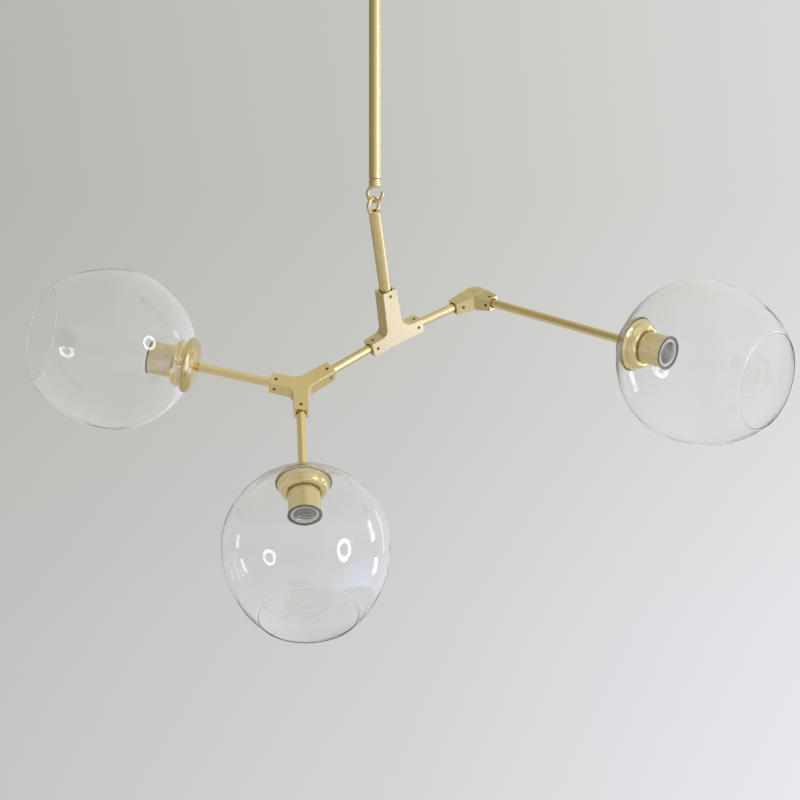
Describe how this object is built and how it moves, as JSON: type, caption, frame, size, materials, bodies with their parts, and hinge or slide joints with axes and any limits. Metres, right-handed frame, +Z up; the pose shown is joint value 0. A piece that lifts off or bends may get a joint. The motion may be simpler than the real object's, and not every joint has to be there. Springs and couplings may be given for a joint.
{
  "type": "branch chandelier",
  "caption": "Hanging branch light: a stem on a hook and eye carries a tee, a fork and an elbow, whose arms end in clear glass globes with screw lamp holders.",
  "frame": {"origin": "on the ceiling plane, at the middle of the crossbar, straight above the hook", "axes": "+Z up, +X to the right as the light is seen in its picture, +Y away from the viewer"},
  "size_m": [0.8375, 0.344, 0.7739],
  "materials": {
    "brushed_brass": "satin",
    "polished_brass": "polished",
    "steel": "satin",
    "clear_glass": "gloss",
    "black_plastic": "matte",
    "ceramic": "satin"
  },
  "bodies": {
    "ceiling": {"crossbar": "steel", "ceiling_nipple": "steel", "lock_nut": "steel", "stem_top_plug": "steel", "upper_stem": "brushed_brass", "stem_end_plug": "steel"},
    "canopy": {"canopy": "brushed_brass", "canopy_collar": "brushed_brass", "collar_screw": "steel"},
    "hook": {"hook": "brushed_brass"},
    "stem": {"eye": "brushed_brass", "lower_stem_plug": "steel", "lower_stem": "brushed_brass"},
    "tee": {"tee_hub": "brushed_brass", "tee_screws": "steel", "fork_link": "brushed_brass", "elbow_link": "brushed_brass"},
    "fork": {"fork_hub": "brushed_brass", "fork_screws": "steel", "left_arm": "brushed_brass", "lower_arm": "brushed_brass", "left_cap": "brushed_brass", "left_nut": "steel", "left_cup": "brushed_brass", "left_liner": "black_plastic", "left_insulator": "ceramic", "left_shell": "steel", "left_contact": "polished_brass", "left_ring": "polished_brass", "left_globe": "clear_glass", "lower_cap": "brushed_brass", "lower_nut": "steel", "lower_cup": "brushed_brass", "lower_liner": "black_plastic", "lower_insulator": "ceramic", "lower_shell": "steel", "lower_contact": "polished_brass", "lower_ring": "polished_brass", "lower_globe": "clear_glass"},
    "elbow": {"elbow_inner": "brushed_brass", "elbow_inner_screws": "steel"},
    "right": {"elbow_outer": "brushed_brass", "elbow_outer_screws": "steel", "pivot_screw": "brushed_brass", "pivot_nut": "steel", "right_arm": "brushed_brass", "right_cap": "brushed_brass", "right_nut": "steel", "right_cup": "brushed_brass", "right_liner": "black_plastic", "right_insulator": "ceramic", "right_shell": "steel", "right_contact": "polished_brass", "right_ring": "polished_brass", "right_globe": "clear_glass"}
  },
  "joints": [
    {"name": "canopy_slide", "type": "slide", "parent": "ceiling", "child": "canopy", "axis": [0, 0, -1], "range_m": [0, 0.2]},
    {"name": "hook_turn", "type": "hinge", "parent": "ceiling", "child": "hook", "pos_m": [0, 0, -0.3], "axis": [0, 0, 1], "range_deg": [-180, 180]},
    {"name": "eye_swing", "type": "hinge", "parent": "hook", "child": "stem", "pos_m": [0, 0, -0.3], "axis": [0.9659, -0.2588, 0], "range_deg": [-25, 25]},
    {"name": "tee_turn", "type": "hinge", "parent": "stem", "child": "tee", "pos_m": [0.0183, 0.08325, -0.44482], "axis": [-0.1218, -0.4991, 0.858], "range_deg": [-45, 45]},
    {"name": "fork_turn", "type": "hinge", "parent": "tee", "child": "fork", "pos_m": [-0.08332, 0.03184, -0.5054], "axis": [-0.7878, -0.3986, -0.4696], "range_deg": [-90, 90]},
    {"name": "elbow_turn", "type": "hinge", "parent": "tee", "child": "elbow", "pos_m": [0.11337, 0.13696, -0.40008], "axis": [0.8057, 0.4552, 0.3791], "range_deg": [-45, 90]},
    {"name": "elbow_bend", "type": "hinge", "parent": "elbow", "child": "right", "pos_m": [0.11337, 0.13696, -0.40008], "axis": [0.1218, 0.4991, -0.858], "range_deg": [-76.1, 3.9]}
  ]
}
